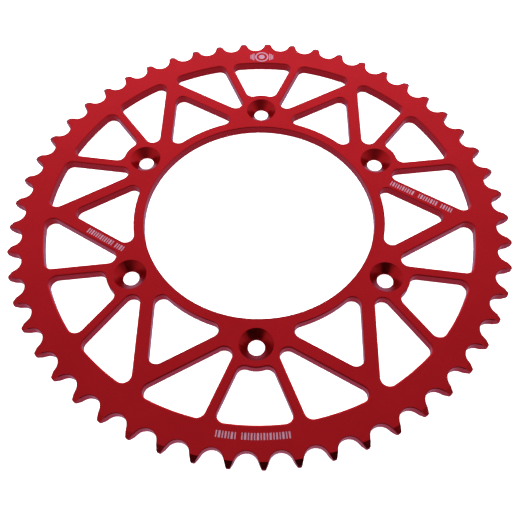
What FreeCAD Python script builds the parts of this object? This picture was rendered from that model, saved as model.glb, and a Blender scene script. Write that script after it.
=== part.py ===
import FreeCAD, Part
import math
import os
import re
import Sketcher

# Rear chain sprocket of an off-road motorcycle: one plate, turned, milled and drilled from a
# single disc. Units are millimetres and degrees. The plate lies flat. The origin is the centre
# of the bore on the back face, the face against the hub. +Z runs along the bore, towards the
# front face where the countersinks open, and one bolt hole is on +Y.

DIMENSIONS = (
    ("chain_pitch", 15.875, "pitch of the chain"),
    ("roller_diameter", 10.16, "roller of the chain"),
    ("tooth_count", 53, "teeth"),
    ("first_gap_angle", 3.6, "middle of the first tooth gap, from +X"),
    ("seat_radius", 5.65, "arc of a tooth gap that seats the roller"),
    ("seat_angle", 135.4, "angle of that arc"),
    ("flank_radius", 58, "convex flank of a tooth"),
    ("tip_corner_radius", 0.9, "rounded corner between a flank and the tip"),
    ("tip_radius", 136.8, "outside of the teeth"),
    ("bevel_start_radius", 133.7, "where the bevel of the teeth starts on each face"),
    ("bevel_depth", 1.8, "depth of that bevel at the tip"),
    ("plate_thickness", 5.6, "thickness of the plate"),
    ("bore_radius", 63.25, "pilot bore over the hub"),
    ("ring_radius", 68.9, "outside of the bore ring"),
    ("rim_inner_radius", 117.15, "inside of the toothed rim"),
    ("bolt_count", 6, "bolt holes, and repeats of the windows"),
    ("bolt_circle_radius", 77, "bolt circle"),
    ("bolt_hole_diameter", 8.5, "clearance hole"),
    ("countersink_diameter", 17.4, "countersink at the front face"),
    ("countersink_angle", 90, "included angle of the countersink"),
    ("boss_radius", 12.35, "boss round a bolt hole"),
    ("spoke_angle", 22.75, "thin spoke, from the radius through its bolt"),
    ("spoke_offset", 24.15, "centre line of the spoke, from the axis"),
    ("spoke_width", 4.9, "width of the spoke"),
    ("strut_angle", 60.45, "thick strut, from the radius through its bolt"),
    ("strut_offset", 56.6, "centre line of the strut, from the axis"),
    ("strut_width", 6.9, "width of the strut"),
    ("corner_radius", 4.2, "corners of the windows"),
    ("edge_break", 0.35, "chamfer of the bore, windows and holes"),
    ("gap_edge_break", 0.3, "chamfer of the tooth gaps"),
)
# The rounded corners of the tips peak this far past the tips, so that they cross the outside of
# the blank at an angle, and the tooth gap's mouth lies further out again.
CORNER_OVERRUN = 0.05
MOUTH_OVERRUN = 0.5
# Lengths closer than this are the same length.
TOLERANCE = 0.001
# Places in a sketch: its origin point, its horizontal and vertical axes, and the points of a
# line or arc.
ORIGIN = (-1, 1)
HORIZONTAL_AXIS = -1
VERTICAL_AXIS = -2
START = 1
END = 2
CENTRE = 3
AXIS = FreeCAD.Vector(0, 0, 0)
# Formulas of the sketches: the edges of the bars, from the axis; half a step between bolts; the
# centre of a tooth gap's seat, whose bottom is where a roller of the chain sits; the centres of
# the tips' rounded corners; and the mouth of a tooth gap.
SPOKE_OUTER_EDGE = "spoke_offset + spoke_width / 2"
SPOKE_INNER_EDGE = "spoke_offset - spoke_width / 2"
STRUT_OUTER_EDGE = "strut_offset + strut_width / 2"
STRUT_INNER_EDGE = "strut_offset - strut_width / 2"
HALF_STEP = "180 / bolt_count"
ROOT_RADIUS = "chain_pitch / (2 * sin(180 deg / tooth_count)) - roller_diameter / 2"
SEAT_CENTRE_RADIUS = f"{ROOT_RADIUS} + seat_radius"
CORNER_CENTRE_RADIUS = f"tip_radius + {CORNER_OVERRUN} - tip_corner_radius"
MOUTH_DISTANCE = f"tip_radius + {MOUTH_OVERRUN}"

doc = FreeCAD.newDocument("sprocket_model")
sheet = doc.addObject("Spreadsheet::Sheet", "Dimensions")
for row, (alias, value, meaning) in enumerate(DIMENSIONS, start=1):
    sheet.set(f"A{row}", meaning)
    sheet.set(f"B{row}", str(value))
    sheet.setAlias(f"B{row}", alias)
doc.recompute()

body = doc.addObject("PartDesign::Body", "rear_sprocket")
body.Label = "rear_sprocket"


def in_sheet(formula, unit):
    """The formula as an expression of the sheet, with its unit."""
    aliases = "|".join(alias for alias, _, _ in DIMENSIONS)
    expression = re.sub(rf"\b({aliases})\b", r"Dimensions.\1", formula)
    return f"({expression}) * 1 {unit}"


def value_of(formula):
    """The number that a formula of the sheet gives, in millimetres or degrees."""
    return sheet.evalExpression(in_sheet(formula, "mm")).Value


def origin(role):
    """The body's own plane or axis with that role."""
    return next(item for item in body.Origin.OriginFeatures if item.Role == role)


def new_sketch(name, plane="XY_Plane"):
    """An empty sketch on one of the body's origin planes."""
    sketch = body.newObject("Sketcher::SketchObject", name)
    sketch.AttachmentSupport = (origin(plane), [""])
    sketch.MapMode = "FlatFace"
    return sketch


def dimension(sketch, name, formula, kind, *geometry):
    """A dimension of a sketch, bound to a formula of the sheet."""
    number = value_of(formula)
    if kind == "Angle":
        number = math.radians(number)
    index = sketch.addConstraint(Sketcher.Constraint(kind, *geometry, number))
    sketch.renameConstraint(index, name)
    unit = "deg" if kind == "Angle" else "mm"
    sketch.setExpression(f"Constraints.{name}", in_sheet(formula, unit))


def constrain(sketch, kind, *geometry):
    """A constraint of a sketch that holds no number."""
    sketch.addConstraint(Sketcher.Constraint(kind, *geometry))


def bind(feature, name, formula, unit="mm"):
    """A property of a feature, bound to a formula of the sheet."""
    feature.setExpression(name, in_sheet(formula, unit))


def cut_through(sketch, name):
    """A pocket through the whole plate, upwards from the back face."""
    pocket = body.newObject("PartDesign::Pocket", name)
    pocket.Profile = sketch
    pocket.Type = "ThroughAll"
    pocket.Reversed = True
    return pocket


def polar_pattern(name, count):
    """An even pattern round the plate's axis, not yet told what it repeats."""
    pattern = doc.addObject("PartDesign::PolarPattern", name)
    pattern.Axis = (origin("Z_Axis"), [""])
    pattern.Angle = 360
    pattern.setExpression("Occurrences", f"Dimensions.{count}")
    return pattern


def repeat(feature, name, count):
    """The feature, repeated evenly round the plate's axis."""
    pattern = polar_pattern(name, count)
    body.addObject(pattern)
    pattern.Originals = [feature]
    body.Tip = pattern
    return pattern


def polar_point(radius, degrees):
    """The point of a sketch at that radius and angle."""
    turn = math.radians(degrees)
    return FreeCAD.Vector(radius * math.cos(turn), radius * math.sin(turn), 0)


def mirrored_point(point):
    """The point on the other side of the sketch's horizontal axis."""
    return FreeCAD.Vector(point.x, -point.y, 0)


def edge_names(feature, chosen):
    """The names of the feature's edges that a test chooses."""
    edges = enumerate(feature.Shape.Edges, start=1)
    return [f"Edge{number}" for number, edge in edges if chosen(edge)]


def edge_radius(edge):
    """The distance from the plate's axis to the middle of an edge."""
    middle = edge.valueAt((edge.FirstParameter + edge.LastParameter) / 2)
    return math.hypot(middle.x, middle.y)


def on_face(edge):
    """Whether an edge lies in the front or the back face."""
    heights = (edge.BoundBox.ZMin, edge.BoundBox.ZMax)
    faces = (0, value_of("plate_thickness"))
    return any(all(abs(height - face) < TOLERANCE for height in heights) for face in faces)


def upright(edge):
    """Whether an edge stands square to the faces."""
    return edge.BoundBox.DiagonalLength - edge.BoundBox.ZLength < TOLERANCE


def break_edges(feature, name, chosen, formula):
    """The chosen edges of the feature, broken at 45 degrees."""
    doc.recompute()
    result = body.newObject("PartDesign::Chamfer", name)
    result.Base = (feature, edge_names(feature, chosen))
    result.ChamferType = "Equal distance"
    bind(result, "Size", formula)
    return result


# ------------------------------------------------------------------------------- turned blank
def blank():
    """The turned disc: bore, faces and both bevels of the rim, from one half section."""
    sketch = new_sketch("blank_section", "XZ_Plane")
    corners = (
        ("back_inner", "bore_radius + edge_break", None),
        ("back_outer", "bevel_start_radius", None),
        ("tip_back", "tip_radius", "bevel_depth"),
        ("tip_front", "tip_radius", "plate_thickness - bevel_depth"),
        ("front_outer", "bevel_start_radius", "plate_thickness"),
        ("front_inner", "bore_radius + edge_break", "plate_thickness"),
        ("bore_front", "bore_radius", "plate_thickness - edge_break"),
        ("bore_back", "bore_radius", "edge_break"),
    )
    points = [
        FreeCAD.Vector(value_of(radius), value_of(height) if height else 0, 0)
        for _, radius, height in corners
    ]
    for start, end in zip(points, points[1:] + points[:1]):
        sketch.addGeometry(Part.LineSegment(start, end))
    for side in range(len(corners)):
        constrain(sketch, "Coincident", side, END, (side + 1) % len(corners), START)
    for side, (name, radius, height) in enumerate(corners):
        corner = (side, START)
        dimension(sketch, f"{name}_radius", radius, "DistanceX", *ORIGIN, *corner)
        if height:
            dimension(sketch, f"{name}_height", height, "DistanceY", *ORIGIN, *corner)
        else:
            constrain(sketch, "PointOnObject", *corner, HORIZONTAL_AXIS)
    revolution = body.newObject("PartDesign::Revolution", "blank")
    revolution.Profile = sketch
    revolution.ReferenceAxis = (sketch, ["V_Axis"])
    revolution.Angle = 360
    return revolution


# ------------------------------------------------------------------------------------ windows
def bar_edge(direction, offset):
    """A bar's edge: its direction, and its point nearest the axis, which is on its right."""
    along = polar_point(1, value_of(direction))
    return along, FreeCAD.Vector(-along.y, along.x, 0) * value_of(offset)


def edges_meet(first, second):
    """The point where two bars' edges meet."""
    (along, foot), (other_along, other_foot) = first, second
    gap = other_foot - foot
    crossing = along.x * other_along.y - along.y * other_along.x
    return foot + along * ((gap.x * other_along.y - gap.y * other_along.x) / crossing)


def edge_meets_circle(edge, centre, radius):
    """The outer point where a bar's edge crosses a circle."""
    along, foot = edge
    nearest = foot + along * along.dot(centre - foot)
    reach = value_of(radius) ** 2 - (nearest - centre).Length ** 2
    return nearest + along * math.sqrt(reach)


def add_side(sketch, name, ends, direction, offset):
    """A straight side of a window, held by its direction and its distance from the axis."""
    side = sketch.addGeometry(Part.LineSegment(*ends))
    dimension(sketch, f"{name}_direction", direction, "Angle", side)
    dimension(sketch, f"{name}_offset", offset, "Distance", *ORIGIN, side)
    return side


def add_arc(sketch, name, centre, ends, radius):
    """A curved side, counter-clockwise between its ends."""
    angles = [math.atan2(point.y - centre.y, point.x - centre.x) for point in ends]
    circle = Part.Circle(centre, FreeCAD.Vector(0, 0, 1), value_of(radius))
    arc = sketch.addGeometry(Part.ArcOfCircle(circle, *angles))
    dimension(sketch, f"{name}_radius", radius, "Radius", arc)
    return arc


def bolt_windows():
    """The windows outside the bolts: boss below, rim above, and a thin spoke at each side."""
    sketch = new_sketch("bolt_window_outline")
    bolt = FreeCAD.Vector(0, value_of("bolt_circle_radius"), 0)
    edge = bar_edge("90 - spoke_angle", SPOKE_OUTER_EDGE)
    foot = edge_meets_circle(edge, bolt, "boss_radius")
    head = edge_meets_circle(edge, AXIS, "rim_inner_radius")
    left_foot = FreeCAD.Vector(-foot.x, foot.y, 0)
    left_head = FreeCAD.Vector(-head.x, head.y, 0)
    right = add_side(sketch, "right", (foot, head), "90 - spoke_angle", SPOKE_OUTER_EDGE)
    left = add_side(sketch, "left", (left_foot, left_head), "90 + spoke_angle", SPOKE_OUTER_EDGE)
    rim = add_arc(sketch, "rim", AXIS, (head, left_head), "rim_inner_radius")
    boss = add_arc(sketch, "boss", bolt, (foot, left_foot), "boss_radius")
    constrain(sketch, "PointOnObject", boss, CENTRE, VERTICAL_AXIS)
    dimension(sketch, "bolt_circle", "bolt_circle_radius", "DistanceY", *ORIGIN, boss, CENTRE)
    constrain(sketch, "Coincident", rim, CENTRE, *ORIGIN)
    constrain(sketch, "Coincident", right, END, rim, START)
    constrain(sketch, "Coincident", rim, END, left, END)
    constrain(sketch, "Coincident", left, START, boss, END)
    constrain(sketch, "Coincident", boss, START, right, START)
    return repeat(cut_through(sketch, "bolt_window"), "bolt_windows", "bolt_count")


def side_windows():
    """The windows beside the bolts, each between a thin spoke, a thick strut and the rim."""
    sketch = new_sketch("side_window_outline")
    spoke_edge = bar_edge("90 - spoke_angle", SPOKE_INNER_EDGE)
    strut_edge = bar_edge("90 - strut_angle", STRUT_OUTER_EDGE)
    corner = edges_meet(spoke_edge, strut_edge)
    spoke_head = edge_meets_circle(spoke_edge, AXIS, "rim_inner_radius")
    strut_head = edge_meets_circle(strut_edge, AXIS, "rim_inner_radius")
    spoke = add_side(sketch, "spoke", (corner, spoke_head), "90 - spoke_angle", SPOKE_INNER_EDGE)
    strut = add_side(sketch, "strut", (corner, strut_head), "90 - strut_angle", STRUT_OUTER_EDGE)
    rim = add_arc(sketch, "rim", AXIS, (strut_head, spoke_head), "rim_inner_radius")
    constrain(sketch, "Coincident", rim, CENTRE, *ORIGIN)
    constrain(sketch, "Coincident", spoke, START, strut, START)
    constrain(sketch, "Coincident", strut, END, rim, START)
    constrain(sketch, "Coincident", rim, END, spoke, END)
    pocket = cut_through(sketch, "side_window")
    mirrored = doc.addObject("PartDesign::Mirrored", "other_side_of_bolt")
    mirrored.MirrorPlane = (origin("YZ_Plane"), [""])
    windows = body.newObject("PartDesign::MultiTransform", "side_windows")
    windows.Originals = [pocket]
    windows.Transformations = [mirrored, polar_pattern("side_window_pattern", "bolt_count")]
    body.Tip = windows
    return windows


def ring_windows():
    """The windows halfway between the bolts, between two thick struts and the bore ring."""
    sketch = new_sketch("ring_window_outline")
    edge = bar_edge(f"{HALF_STEP} - strut_angle", STRUT_INNER_EDGE)
    foot = edge_meets_circle(edge, AXIS, "ring_radius")
    apex = edges_meet(edge, (FreeCAD.Vector(1, 0, 0), AXIS))
    low_foot = mirrored_point(foot)
    turn = f"{HALF_STEP} - strut_angle"
    high = add_side(sketch, "high", (foot, apex), turn, STRUT_INNER_EDGE)
    low = add_side(sketch, "low", (low_foot, apex), f"-({turn})", STRUT_INNER_EDGE)
    ring = add_arc(sketch, "ring", AXIS, (low_foot, foot), "ring_radius")
    constrain(sketch, "Coincident", ring, CENTRE, *ORIGIN)
    constrain(sketch, "Coincident", high, END, low, END)
    constrain(sketch, "Coincident", low, START, ring, START)
    constrain(sketch, "Coincident", ring, END, high, START)
    return repeat(cut_through(sketch, "ring_window"), "ring_windows", "bolt_count")


def in_window(edge):
    """Whether an edge belongs to the windows, between the bore ring and the rim."""
    inner = value_of("ring_radius") - TOLERANCE
    outer = value_of("rim_inner_radius") + TOLERANCE
    return inner < edge_radius(edge) < outer


def is_window_corner(edge):
    """Whether an edge is a corner of a window."""
    return in_window(edge) and upright(edge)


def is_window_rim(edge):
    """Whether an edge is where a window opens in a face."""
    return in_window(edge) and on_face(edge)


def round_corners(feature):
    """The corners of every window, rounded by the milling cutter."""
    doc.recompute()
    fillet = body.newObject("PartDesign::Fillet", "window_corners")
    fillet.Base = (feature, edge_names(feature, is_window_corner))
    bind(fillet, "Radius", "corner_radius")
    return fillet


# --------------------------------------------------------------------------------- bolt holes
def bolt_holes():
    """The countersunk clearance holes, drilled from the front face."""
    sketch = new_sketch("bolt_hole_centre")
    bind(sketch, "AttachmentOffset.Base.z", "plate_thickness")
    centre = FreeCAD.Vector(0, value_of("bolt_circle_radius"), 0)
    radius = value_of("bolt_hole_diameter / 2")
    circle = sketch.addGeometry(Part.Circle(centre, FreeCAD.Vector(0, 0, 1), radius))
    dimension(sketch, "hole_radius", "bolt_hole_diameter / 2", "Radius", circle)
    constrain(sketch, "PointOnObject", circle, CENTRE, VERTICAL_AXIS)
    dimension(sketch, "bolt_circle", "bolt_circle_radius", "DistanceY", *ORIGIN, circle, CENTRE)
    hole = body.newObject("PartDesign::Hole", "bolt_hole")
    hole.Profile = sketch
    doc.recompute()
    hole.ThreadType = "None"
    hole.DepthType = "ThroughAll"
    bind(hole, "Diameter", "bolt_hole_diameter")
    hole.HoleCutType = "Countersink"
    hole.HoleCutCustomValues = True
    bind(hole, "HoleCutDiameter", "countersink_diameter")
    bind(hole, "HoleCutCountersinkAngle", "countersink_angle", "deg")
    return repeat(hole, "bolt_holes", "bolt_count")


def is_hole_rim(edge):
    """Whether an edge is the rim of a bolt hole on the back face."""
    radius = getattr(edge.Curve, "Radius", 0)
    same = abs(radius - value_of("bolt_hole_diameter / 2")) < TOLERANCE
    return same and edge.BoundBox.ZMax < TOLERANCE


# -------------------------------------------------------------------------------------- teeth
def circles_meet(centre, radius, outer_radius):
    """The point furthest along +X where a circle crosses one round the axis."""
    distance = centre.Length
    opening = (radius**2 + distance**2 - outer_radius**2) / (2 * radius * distance)
    towards_axis = math.atan2(-centre.y, -centre.x)
    return centre + polar_point(radius, math.degrees(towards_axis + math.acos(opening)))


def tooth_gaps():
    """The gaps between the teeth: a round roller seat, convex flanks and rounded tip corners."""
    sketch = new_sketch("tooth_gap_outline")
    bind(sketch, "AttachmentOffset.Rotation.Angle", "first_gap_angle", "deg")
    flank_radius = value_of("flank_radius")
    corner_radius = value_of("tip_corner_radius")
    lean = polar_point(1, 180 - value_of("seat_angle / 2"))
    seat_centre = FreeCAD.Vector(value_of(SEAT_CENTRE_RADIUS), 0, 0)
    seat_end = seat_centre + lean * value_of("seat_radius")
    flank_centre = seat_end + lean * flank_radius
    corner_reach = value_of(CORNER_CENTRE_RADIUS)
    corner_centre = circles_meet(flank_centre, flank_radius - corner_radius, corner_reach)
    outwards = (corner_centre - flank_centre).normalize()
    flank_end = corner_centre + outwards * corner_radius
    corner_end = corner_centre + FreeCAD.Vector(corner_radius, 0, 0)
    mouth_end = FreeCAD.Vector(value_of(MOUTH_DISTANCE), corner_end.y, 0)

    ends = (seat_end, mirrored_point(seat_end))
    seat = add_arc(sketch, "seat", seat_centre, ends, "seat_radius")
    constrain(sketch, "PointOnObject", seat, CENTRE, HORIZONTAL_AXIS)
    dimension(sketch, "seat_centre", SEAT_CENTRE_RADIUS, "DistanceX", *ORIGIN, seat, CENTRE)
    dimension(sketch, "seat_angle", "seat_angle", "Angle", seat)
    constrain(sketch, "Vertical", seat, START, seat, END)
    mouth = sketch.addGeometry(Part.LineSegment(mouth_end, mirrored_point(mouth_end)))
    constrain(sketch, "Vertical", mouth)
    dimension(sketch, "mouth", MOUTH_DISTANCE, "DistanceX", *ORIGIN, mouth, START)

    for name, near, far in (("high", START, END), ("low", END, START)):
        flank_ends = [seat_end, flank_end]
        corner_ends = [flank_end, corner_end]
        centres = [flank_centre, corner_centre]
        side_ends = [corner_end, mouth_end]
        if name == "low":
            flank_ends = [mirrored_point(point) for point in reversed(flank_ends)]
            corner_ends = [mirrored_point(point) for point in reversed(corner_ends)]
            centres = [mirrored_point(point) for point in centres]
            side_ends = [mirrored_point(point) for point in side_ends]
        flank = add_arc(sketch, f"{name}_flank", centres[0], flank_ends, "flank_radius")
        corner = add_arc(sketch, f"{name}_corner", centres[1], corner_ends, "tip_corner_radius")
        side = sketch.addGeometry(Part.LineSegment(*side_ends))
        constrain(sketch, "Tangent", seat, near, flank, near)
        constrain(sketch, "Tangent", flank, far, corner, near)
        dimension(
            sketch, f"{name}_reach", CORNER_CENTRE_RADIUS, "Distance", *ORIGIN, corner, CENTRE
        )
        constrain(sketch, "Horizontal", corner, CENTRE, corner, far)
        constrain(sketch, "Coincident", corner, far, side, START)
        constrain(sketch, "Horizontal", side)
        constrain(sketch, "Coincident", side, END, mouth, near)
    return repeat(cut_through(sketch, "tooth_gap"), "tooth_gaps", "tooth_count")


def is_gap_rim(edge):
    """Whether an edge is where a tooth gap opens in a face, short of the bevels of the teeth."""
    inner = value_of("rim_inner_radius") + TOLERANCE
    outer = value_of("bevel_start_radius") - TOLERANCE
    return on_face(edge) and inner < edge_radius(edge) < outer


# ------------------------------------------------------------------------- the finished plate
blank()
bolt_windows()
side_windows()
windows = ring_windows()
rounded = round_corners(windows)
break_edges(rounded, "window_edges", is_window_rim, "edge_break")
holes = bolt_holes()
break_edges(holes, "hole_edges", is_hole_rim, "edge_break")
gaps = tooth_gaps()
break_edges(gaps, "gap_edges", is_gap_rim, "gap_edge_break")
doc.recompute()

for item in doc.Objects:
    if any(state in ("Invalid", "Error") for state in item.State):
        raise RuntimeError(f"{item.Label} is {item.State}")
for sketch in (item for item in doc.Objects if item.isDerivedFrom("Sketcher::SketchObject")):
    if sketch.solve() != 0 or not sketch.FullyConstrained:
        raise RuntimeError(f"{sketch.Label} isn't fully constrained")
shape = body.Shape
if shape.isNull() or not shape.isValid() or len(shape.Solids) != 1:
    raise RuntimeError(f"{body.Label} isn't one valid solid")
# Every step after the blank cuts metal away, except that the rounded corners leave some behind.
steps = [item for item in body.Group if item.isDerivedFrom("PartDesign::Feature")]
for before, after in zip(steps, steps[1:]):
    removed = before.Shape.Volume - after.Shape.Volume
    print(f"{after.Label}: {removed:.0f} mm3 removed")
    if removed <= 0 and after.Label != rounded.Label:
        raise RuntimeError(f"{after.Label} cut nothing")

os.makedirs("parts", exist_ok=True)
shape.exportStep(f"parts/{body.Label}.step")
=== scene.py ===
import bmesh
import bpy
import math
from functools import partial
from mathutils import Matrix, Vector


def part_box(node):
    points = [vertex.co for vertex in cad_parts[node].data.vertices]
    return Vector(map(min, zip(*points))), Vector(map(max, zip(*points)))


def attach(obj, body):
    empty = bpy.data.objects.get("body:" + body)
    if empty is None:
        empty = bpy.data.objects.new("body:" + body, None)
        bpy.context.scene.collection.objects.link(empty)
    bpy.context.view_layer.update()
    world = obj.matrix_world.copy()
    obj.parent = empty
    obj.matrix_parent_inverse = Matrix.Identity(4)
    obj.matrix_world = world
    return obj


# Looks of the rear sprocket. Blender's unit is the metre. Lengths on the plate are given in
# millimetres and multiplied by MM. Angles are in degrees: on the plate counter-clockwise from
# +X, and azimuths from -Y towards +X.
MM = 0.001

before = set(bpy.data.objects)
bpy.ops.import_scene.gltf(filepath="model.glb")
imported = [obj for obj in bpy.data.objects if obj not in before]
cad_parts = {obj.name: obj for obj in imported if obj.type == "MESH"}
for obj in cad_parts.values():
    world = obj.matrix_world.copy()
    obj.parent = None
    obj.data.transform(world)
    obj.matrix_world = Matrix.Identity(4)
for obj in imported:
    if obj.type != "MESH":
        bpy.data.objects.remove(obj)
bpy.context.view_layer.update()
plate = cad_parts["rear_sprocket"]
FRONT_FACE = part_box("rear_sprocket")[1].z

# ------------------------------------------------------------------------------------- camera
# The camera looks down at the plate lying on its back. Its place is in millimetres from the
# centre of the bore.
CAMERA_AZIMUTH = 1.7594
CAMERA_ELEVATION = 59.401
CAMERA_ROLL = -0.948
CAMERA_PLACE = Vector((6.4146, -204.6589, 302.3782))
CAMERA_LENS = 45.3457
CAMERA_NEAREST = 0.01


def direction(azimuth, elevation):
    """The unit vector that stands at that azimuth, from -Y towards +X, and that elevation."""
    turn = math.radians(azimuth)
    rise = math.radians(elevation)
    level = math.cos(rise)
    return Vector((math.sin(turn) * level, -math.cos(turn) * level, math.sin(rise)))


def add_camera():
    """The camera, from where it stands to where it looks, then rolled about its own axis."""
    back = direction(CAMERA_AZIMUTH, CAMERA_ELEVATION)
    right = direction(CAMERA_AZIMUTH + 90, 0)
    up = back.cross(right)
    level = Matrix((right, up, back)).transposed().to_4x4()
    roll = Matrix.Rotation(math.radians(CAMERA_ROLL), 4, "Z")
    data = bpy.data.cameras.new("camera")
    data.lens = CAMERA_LENS
    data.clip_start = CAMERA_NEAREST
    camera = bpy.data.objects.new("camera", data)
    camera.matrix_world = Matrix.Translation(CAMERA_PLACE * MM) @ level @ roll
    bpy.context.scene.collection.objects.link(camera)
    bpy.context.scene.camera = camera


# ---------------------------------------------------------------------------------- materials
# Most of a noise's values lie between these two.
NOISE_LOW = 0.3
NOISE_HIGH = 0.7
# Colours are linear red, green and blue. The dye takes a little unevenly over the plate.
THIN_DYE = (0.45, 0.0018, 0.005)
FULL_DYE = (0.495, 0.0028, 0.007)
# What the laser leaves: metal with some dye still in it, and nearly bare metal.
STAINED_METAL = (0.62, 0.3, 0.38)
BARE_METAL = (0.8, 0.46, 0.54)
# Features to the metre.
DYE_PATCHES = 38
FINISH_PATCHES = 160
SURFACE_WAVES = 420
BLASTED_GRAIN = 2600
RESIDUE_SPECKS = 900
LASER_LINES = 6000
# On the milled walls the grain runs from face to face, as the side of the cutter leaves it, so
# it is stretched along Z. The laser's lines run along Y.
MILLED_STRETCH = (1, 1, 0.08)
LASER_STRETCH = (1, 0.1, 1)


def add_node(tree, kind, settings=None, values=None):
    """A shader node, with its settings and the values of its inputs."""
    node = tree.nodes.new(kind)
    for name, setting in (settings or {}).items():
        setattr(node, name, setting)
    for name, value in (values or {}).items():
        node.inputs[name].default_value = value
    return node


def new_material(name, values):
    """A material with one Principled shader that has these values."""
    material = bpy.data.materials.new(name)
    material.use_nodes = True
    tree = material.node_tree
    shader = tree.nodes["Principled BSDF"]
    for socket, value in values.items():
        shader.inputs[socket].default_value = value
    return material, tree, shader


def noise(tree, vector, scale, detail=2):
    """A noise with that many features to the metre: its value, from 0 to 1."""
    values = {"Scale": scale, "Detail": detail}
    node = add_node(tree, "ShaderNodeTexNoise", None, values)
    tree.links.new(vector, node.inputs["Vector"])
    return node.outputs["Fac"]


def map_range(tree, value, from_low, from_high, to_low, to_high):
    """A value, carried from one range to another and kept inside it."""
    values = {"From Min": from_low, "From Max": from_high, "To Min": to_low, "To Max": to_high}
    node = add_node(tree, "ShaderNodeMapRange", None, values)
    tree.links.new(value, node.inputs["Value"])
    return node.outputs["Result"]


def spread(tree, value, low, high):
    """A noise's value, spread over the range from low to high."""
    return map_range(tree, value, NOISE_LOW, NOISE_HIGH, low, high)


def blend_colours(tree, value, low, high):
    """A colour between two, by a noise's value."""
    node = add_node(tree, "ShaderNodeMix", {"data_type": "RGBA"})
    sockets = [socket for socket in node.inputs if socket.type == "RGBA"]
    sockets[0].default_value = (*low, 1)
    sockets[1].default_value = (*high, 1)
    tree.links.new(spread(tree, value, 0, 1), node.inputs["Factor"])
    return next(socket for socket in node.outputs if socket.type == "RGBA")


def bump(tree, height, strength, depth, normal=None):
    """A bump of the given depth in metres, on top of another bump if there is one."""
    values = {"Strength": strength, "Distance": depth}
    node = add_node(tree, "ShaderNodeBump", None, values)
    tree.links.new(height, node.inputs["Height"])
    if normal:
        tree.links.new(normal, node.inputs["Normal"])
    return node.outputs["Normal"]


def plate_coordinates(tree, stretch=(1, 1, 1)):
    """The place on the plate in metres, with each axis multiplied by its own number."""
    place = add_node(tree, "ShaderNodeTexCoord")
    mapping = add_node(tree, "ShaderNodeMapping", None, {"Scale": stretch})
    tree.links.new(place.outputs["Object"], mapping.inputs["Vector"])
    return mapping.outputs["Vector"]


def anodised_aluminium():
    """Satin aluminium, dyed red: a clear oxide layer over metal with a fine blasted grain."""
    material, tree, shader = new_material(
        "red_anodised_aluminium",
        {
            "Metallic": 1,
            "IOR": 1.5,
            "Specular Tint": (1, 0.65, 0.75, 1),
            "Coat Weight": 0.2,
            "Coat Roughness": 0.22,
            "Coat IOR": 1.55,
        },
    )
    place = plate_coordinates(tree)
    dye = noise(tree, place, DYE_PATCHES, 3)
    tree.links.new(blend_colours(tree, dye, THIN_DYE, FULL_DYE), shader.inputs["Base Color"])
    finish = noise(tree, place, FINISH_PATCHES)
    tree.links.new(spread(tree, finish, 0.23, 0.29), shader.inputs["Roughness"])
    grain = noise(tree, plate_coordinates(tree, MILLED_STRETCH), BLASTED_GRAIN)
    waves = noise(tree, place, SURFACE_WAVES, 1)
    fine = bump(tree, grain, 0.14, 0.02 * MM)
    tree.links.new(bump(tree, waves, 0.08, 0.05 * MM, fine), shader.inputs["Normal"])
    return material


def etched_aluminium():
    """Where a laser has burnt the dye away: pale, matt metal with the beam's fine hatching."""
    material, tree, shader = new_material("etched_aluminium", {"Metallic": 1, "IOR": 1.5})
    residue = noise(tree, plate_coordinates(tree), RESIDUE_SPECKS)
    colour = blend_colours(tree, residue, STAINED_METAL, BARE_METAL)
    tree.links.new(colour, shader.inputs["Base Color"])
    tree.links.new(spread(tree, residue, 0.4, 0.55), shader.inputs["Roughness"])
    hatching = noise(tree, plate_coordinates(tree, LASER_STRETCH), LASER_LINES, 1)
    tree.links.new(bump(tree, hatching, 0.2, 0.01 * MM), shader.inputs["Normal"])
    return material


# ------------------------------------------------------------------------------- etched marks
# Plain bars and a badge stand where the plate is marked. They are 0.02 mm proud of the face,
# and go as far into it.
MARK_TOP = FRONT_FACE + 0.02 * MM
MARK_BOTTOM = FRONT_FACE - 0.02 * MM
BAR_WIDTHS = (0.55, 0.95, 0.55, 0.75)
BAR_GAP = 0.75
# The struts that carry bars: the direction of each, and the distance of both from the axis.
# Groups of bars go from a start to an end along the strut.
RIGHT_STRUT = -30.45
LEFT_STRUT = 149.55
STRUT_OFFSET = 56.6
STRUT_BAR_HEIGHT = 3
RIGHT_GROUPS = ((52.7, 67.1), (69.7, 80.8), (83.1, 89))
LEFT_GROUPS = ((50.3, 54.8), (57.3, 74))
# The bars on the rim, under the window nearest -Y: the radius and direction of their middle.
RIM_BARS_RADIUS = 122.4
RIM_BARS_ANGLE = -90.3
RIM_BAR_HEIGHT = 3.2
RIM_GROUPS = ((-17.2, -8.2), (-5.3, 17.2))
# The badge on the rim at +Y: a ring round a hexagon, with three bars at each side, which get
# shorter outwards.
BADGE_CENTRE = Vector((-0.3, 122.8))
BADGE_OUTER_RADIUS = 4.3
BADGE_INNER_RADIUS = 3.4
HEXAGON_RADIUS = 2.1
SIDE_BARS = 3
SIDE_BAR_WIDTH = 0.6
FIRST_SIDE_BAR = 5.1
SIDE_BAR_STEP = 0.95
FIRST_SIDE_HEIGHT = 6.0
SIDE_HEIGHT_STEP = 1.2
CIRCLE_STEPS = 48


def on_strut(strut, along, across):
    """A point on a strut: along it from its point nearest the axis, and across, outwards."""
    turn = math.radians(strut)
    ahead = Vector((math.cos(turn), math.sin(turn)))
    outwards = Vector((-ahead.y, ahead.x))
    return ahead * along + outwards * (STRUT_OFFSET + across)


def on_rim(radius, angle, along, across):
    """A point on the rim: along the arc from an angle, and across, outwards."""
    turn = math.radians(angle) + along / radius
    return Vector((math.cos(turn), math.sin(turn))) * (radius + across)


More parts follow.
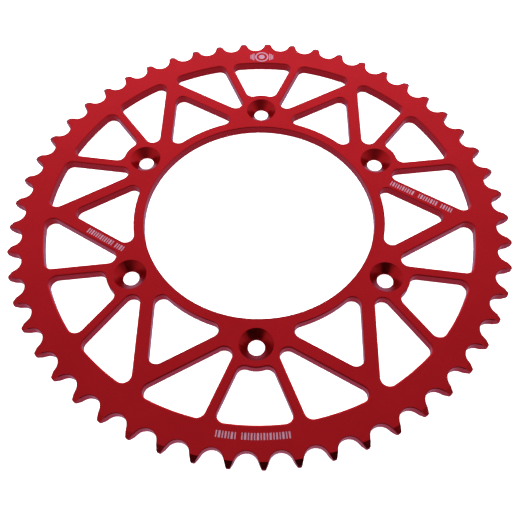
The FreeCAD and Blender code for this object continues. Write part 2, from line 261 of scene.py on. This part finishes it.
def add_ring(made, loops):
    """A closed solid round the loops of points, each loop joined to the next."""
    rings = [[made.verts.new(point) for point in loop] for loop in loops]
    for ring, following in zip(rings, rings[1:] + rings[:1]):
        for step in range(len(ring)):
            after = (step + 1) % len(ring)
            made.faces.new((ring[step], ring[after], following[after], following[step]))


def add_prism(made, outline):
    """A thin closed solid on the face, with that outline of points in millimetres."""
    low = [made.verts.new((*point * MM, MARK_BOTTOM)) for point in outline]
    high = [made.verts.new((*point * MM, MARK_TOP)) for point in outline]
    made.faces.new(reversed(low))
    made.faces.new(high)
    for step in range(len(outline)):
        after = (step + 1) % len(outline)
        made.faces.new((low[step], low[after], high[after], high[step]))


def add_bar(made, place, start, width, height):
    """A bar that starts that far along, as seen from above, with its middle on the line."""
    half = height / 2
    corners = ((start, -half), (start + width, -half), (start + width, half), (start, half))
    add_prism(made, [place(along, across) for along, across in corners])


def add_bars(made, place, groups, height):
    """Groups of bars along a line, each group from its start to its end."""
    for start, end in groups:
        number = 0
        along = start
        while along < end:
            width = BAR_WIDTHS[number % len(BAR_WIDTHS)]
            add_bar(made, place, along, width, height)
            along += width + BAR_GAP
            number += 1


def circle(radius, steps=CIRCLE_STEPS):
    """Points round a circle, in millimetres."""
    turns = [2 * math.pi * step / steps for step in range(steps)]
    return [Vector((math.cos(turn), math.sin(turn))) * radius for turn in turns]


def finish_mark(made, name, material):
    """The marks as one piece that rides on the plate."""
    bmesh.ops.recalc_face_normals(made, faces=made.faces)
    mesh = bpy.data.meshes.new(name)
    made.to_mesh(mesh)
    made.free()
    mesh.materials.append(material)
    piece = bpy.data.objects.new(name, mesh)
    bpy.context.scene.collection.objects.link(piece)
    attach(piece, "root")


def bar_marks(name, place, groups, height, material):
    """Groups of bars along a line, as one piece."""
    made = bmesh.new()
    add_bars(made, place, groups, height)
    finish_mark(made, name, material)


def on_badge(along, across):
    """A point on the badge, from its centre."""
    return BADGE_CENTRE + Vector((along, across))


def badge_loop(radius, height):
    """A circle round the badge's centre at that height in metres."""
    return [(*(BADGE_CENTRE + point) * MM, height) for point in circle(radius)]


def badge(name, material):
    """The badge, as one piece."""
    made = bmesh.new()
    outer = [badge_loop(BADGE_OUTER_RADIUS, height) for height in (MARK_BOTTOM, MARK_TOP)]
    inner = [badge_loop(BADGE_INNER_RADIUS, height) for height in (MARK_TOP, MARK_BOTTOM)]
    add_ring(made, outer + inner)
    add_prism(made, [BADGE_CENTRE + point for point in circle(HEXAGON_RADIUS, 6)])
    for side in (1, -1):
        for number in range(SIDE_BARS):
            middle = side * (FIRST_SIDE_BAR + SIDE_BAR_STEP * number)
            height = FIRST_SIDE_HEIGHT - SIDE_HEIGHT_STEP * number
            add_bar(made, on_badge, middle - SIDE_BAR_WIDTH / 2, SIDE_BAR_WIDTH, height)
    finish_mark(made, name, material)


# ----------------------------------------------------------------------------- floor and light
# The floor and the round wall, in metres. The floor lies just below the plate's back face.
COVE_RADIUS = 1.6
COVE_BEND = 0.6
COVE_HEIGHT = 2.0
COVE_STEPS = 96
BEND_STEPS = 16
FLOOR_RING = 0.5
FLOOR_DROP = 0.2 * MM


def cove_profile():
    """The radius and height of the cove, from the middle of the floor to the top of the wall."""
    points = [(FLOOR_RING, 0), (COVE_RADIUS - COVE_BEND, 0)]
    for step in range(1, BEND_STEPS + 1):
        turn = math.pi / 2 * step / BEND_STEPS
        radius = COVE_RADIUS - COVE_BEND + COVE_BEND * math.sin(turn)
        points.append((radius, COVE_BEND * (1 - math.cos(turn))))
    points.append((COVE_RADIUS, COVE_HEIGHT))
    return points


def cove_mesh():
    """The cove's surface, turned from its profile."""
    made = bmesh.new()
    turns = [2 * math.pi * step / COVE_STEPS for step in range(COVE_STEPS)]
    middle = made.verts.new((0, 0, -FLOOR_DROP))
    rings = []
    for radius, height in cove_profile():
        ring = []
        for turn in turns:
            place = (radius * math.cos(turn), radius * math.sin(turn), height - FLOOR_DROP)
            ring.append(made.verts.new(place))
        rings.append(ring)
    for step in range(COVE_STEPS):
        after = (step + 1) % COVE_STEPS
        made.faces.new((middle, rings[0][step], rings[0][after]))
        for ring, following in zip(rings, rings[1:]):
            made.faces.new((ring[step], following[step], following[after], ring[after]))
    for face in made.faces:
        face.smooth = True
    mesh = bpy.data.meshes.new("pale_floor")
    made.to_mesh(mesh)
    made.free()
    return mesh


def add_cove():
    """A pale floor that curves up into a round wall, so that no edge of it is ever seen."""
    values = {
        "Base Color": (0.9, 0.9, 0.9, 1),
        "Roughness": 0.9,
        "Emission Color": (1, 1, 1, 1),
        "Emission Strength": 1,
    }
    material = new_material("pale_floor", values)[0]
    material.cycles.emission_sampling = "NONE"
    mesh = cove_mesh()
    mesh.materials.append(material)
    cove = bpy.data.objects.new("pale_floor", mesh)
    # The metal reflects the world's light in place of the cove, which doesn't block that light.
    cove.visible_glossy = False
    cove.visible_shadow = False
    bpy.context.scene.collection.objects.link(cove)


# The light from the pale floor and the foot of the walls, as (sine of the elevation, colour).
FLOOR_GLOW = (
    (-1.0, (0.5, 0.42, 0.58)),
    (-0.8, (0.5, 0.68, 0.92)),
    (-0.3, (0.46, 0.5, 0.64)),
    (0.0, (0.3, 0.3, 0.34)),
    (0.2, (0.26, 0.26, 0.28)),
    (0.33, (0.0, 0.0, 0.0)),
)
# The light from the walls and from above, in the same way. It is dimmer towards the front.
WALL_GLOW = (
    (0.0, (0.0, 0.0, 0.0)),
    (0.12, (0.18, 0.18, 0.18)),
    (0.25, (0.34, 0.34, 0.35)),
    (0.37, (0.5, 0.5, 0.51)),
    (0.5, (0.66, 0.66, 0.66)),
    (0.62, (0.54, 0.54, 0.54)),
    (0.75, (0.28, 0.28, 0.28)),
    (0.88, (0.19, 0.19, 0.19)),
    (1.0, (0.26, 0.26, 0.26)),
)
FRONT_AZIMUTH = 14
FRONT_DIMMING = 0.38
# The cosines from the front direction between which the dimming grows to its full amount.
DIMMING_STARTS = 0.2
DIMMING_IS_FULL = 0.78
# A very large, soft light behind the plate. It fades in between two sines of the elevation.
KEY_AZIMUTH = 180
KEY_ELEVATION = 30
KEY_COLOUR = (1.0, 1.15, 1.4)
KEY_STRENGTH = 0.7
KEY_FALL_OFF = 4.5
KEY_FADES_FROM = -0.05
KEY_FADES_TO = 0.1


def glow(tree, sine, stops):
    """A colour by the sine of the elevation."""
    node = add_node(tree, "ShaderNodeValToRGB")
    elements = node.color_ramp.elements
    while len(elements) < len(stops):
        elements.new(0.5)
    for element, (height, colour) in zip(elements, stops):
        element.position = (height + 1) / 2
        element.color = (*colour, 1)
    tree.links.new(map_range(tree, sine, -1, 1, 0, 1), node.inputs["Fac"])
    return node.outputs["Color"]


def facing(tree, toward, azimuth, elevation):
    """How nearly a direction points that way: 1 where it does, -1 where it points away."""
    node = add_node(tree, "ShaderNodeVectorMath", {"operation": "DOT_PRODUCT"})
    node.inputs[1].default_value = direction(azimuth, elevation)
    tree.links.new(toward, node.inputs[0])
    return node.outputs["Value"]


def power(tree, value, exponent):
    """A number to a power."""
    node = add_node(tree, "ShaderNodeMath", {"operation": "POWER"}, {1: exponent})
    tree.links.new(value, node.inputs[0])
    return node.outputs["Value"]


def multiplied(tree, first, second):
    """The product of two numbers."""
    node = add_node(tree, "ShaderNodeMath", {"operation": "MULTIPLY"})
    tree.links.new(first, node.inputs[0])
    tree.links.new(second, node.inputs[1])
    return node.outputs["Value"]


def scale_node(tree, amount):
    """A node that multiplies its first input by an amount."""
    node = add_node(tree, "ShaderNodeVectorMath", {"operation": "SCALE"})
    tree.links.new(amount, node.inputs["Scale"])
    return node


def scaled(tree, colour, amount):
    """A colour that varies by direction, times an amount."""
    node = scale_node(tree, amount)
    tree.links.new(colour, node.inputs[0])
    return node.outputs["Vector"]


def tinted(tree, colour, amount):
    """One fixed colour, times an amount."""
    node = scale_node(tree, amount)
    node.inputs[0].default_value = colour
    return node.outputs["Vector"]


def added(tree, first, second):
    """The sum of two colours."""
    node = add_node(tree, "ShaderNodeVectorMath", {"operation": "ADD"})
    tree.links.new(first, node.inputs[0])
    tree.links.new(second, node.inputs[1])
    return node.outputs["Vector"]


def add_light():
    """Soft studio light: one world shader by direction, the same for every camera."""
    world = bpy.data.worlds.new("studio")
    bpy.context.scene.world = world
    world.use_nodes = True
    tree = world.node_tree
    toward = add_node(tree, "ShaderNodeTexCoord").outputs["Generated"]
    parts = add_node(tree, "ShaderNodeSeparateXYZ")
    tree.links.new(toward, parts.inputs["Vector"])
    sine = parts.outputs["Z"]
    front = facing(tree, toward, FRONT_AZIMUTH, 0)
    dimming = map_range(tree, front, DIMMING_STARTS, DIMMING_IS_FULL, 1, FRONT_DIMMING)
    walls = scaled(tree, glow(tree, sine, WALL_GLOW), dimming)
    nearness = map_range(tree, facing(tree, toward, KEY_AZIMUTH, KEY_ELEVATION), -1, 1, 0, 1)
    falling = power(tree, nearness, KEY_FALL_OFF)
    above = map_range(tree, sine, KEY_FADES_FROM, KEY_FADES_TO, 0, KEY_STRENGTH)
    key = tinted(tree, KEY_COLOUR, multiplied(tree, falling, above))
    total = added(tree, added(tree, glow(tree, sine, FLOOR_GLOW), walls), key)
    tree.links.new(total, tree.nodes["Background"].inputs["Color"])


# A black card stands in front of the plate, so that the bevels that face it are dark. It is
# only seen in the metal. Its corners are in metres.
CARD_CORNERS = (
    (-0.2, -0.24, 0.04),
    (0.22, -0.24, 0.04),
    (0.22, -0.24, 0.17),
    (0.02, -0.24, 0.165),
    (-0.2, -0.24, 0.09),
)


def add_card():
    """The black card."""
    values = {"Base Color": (0.01, 0.01, 0.01, 1), "Roughness": 1, "Specular IOR Level": 0}
    material = new_material("black_card", values)[0]
    mesh = bpy.data.meshes.new("black_card")
    mesh.from_pydata(CARD_CORNERS, [], [range(len(CARD_CORNERS))])
    mesh.materials.append(material)
    card = bpy.data.objects.new("black_card", mesh)
    card.visible_camera = False
    bpy.context.scene.collection.objects.link(card)


# --------------------------------------------------------------------------------- the scene
add_camera()
plate.data.materials.clear()
plate.data.materials.append(anodised_aluminium())
etched = etched_aluminium()
right_strut = partial(on_strut, RIGHT_STRUT)
left_strut = partial(on_strut, LEFT_STRUT)
near_rim = partial(on_rim, RIM_BARS_RADIUS, RIM_BARS_ANGLE)
bar_marks("etched_bars_right", right_strut, RIGHT_GROUPS, STRUT_BAR_HEIGHT, etched)
bar_marks("etched_bars_left", left_strut, LEFT_GROUPS, STRUT_BAR_HEIGHT, etched)
bar_marks("etched_bars_rim", near_rim, RIM_GROUPS, RIM_BAR_HEIGHT, etched)
badge("etched_badge", etched)
add_cove()
add_light()
add_card()
bpy.context.scene.view_settings.view_transform = "Standard"

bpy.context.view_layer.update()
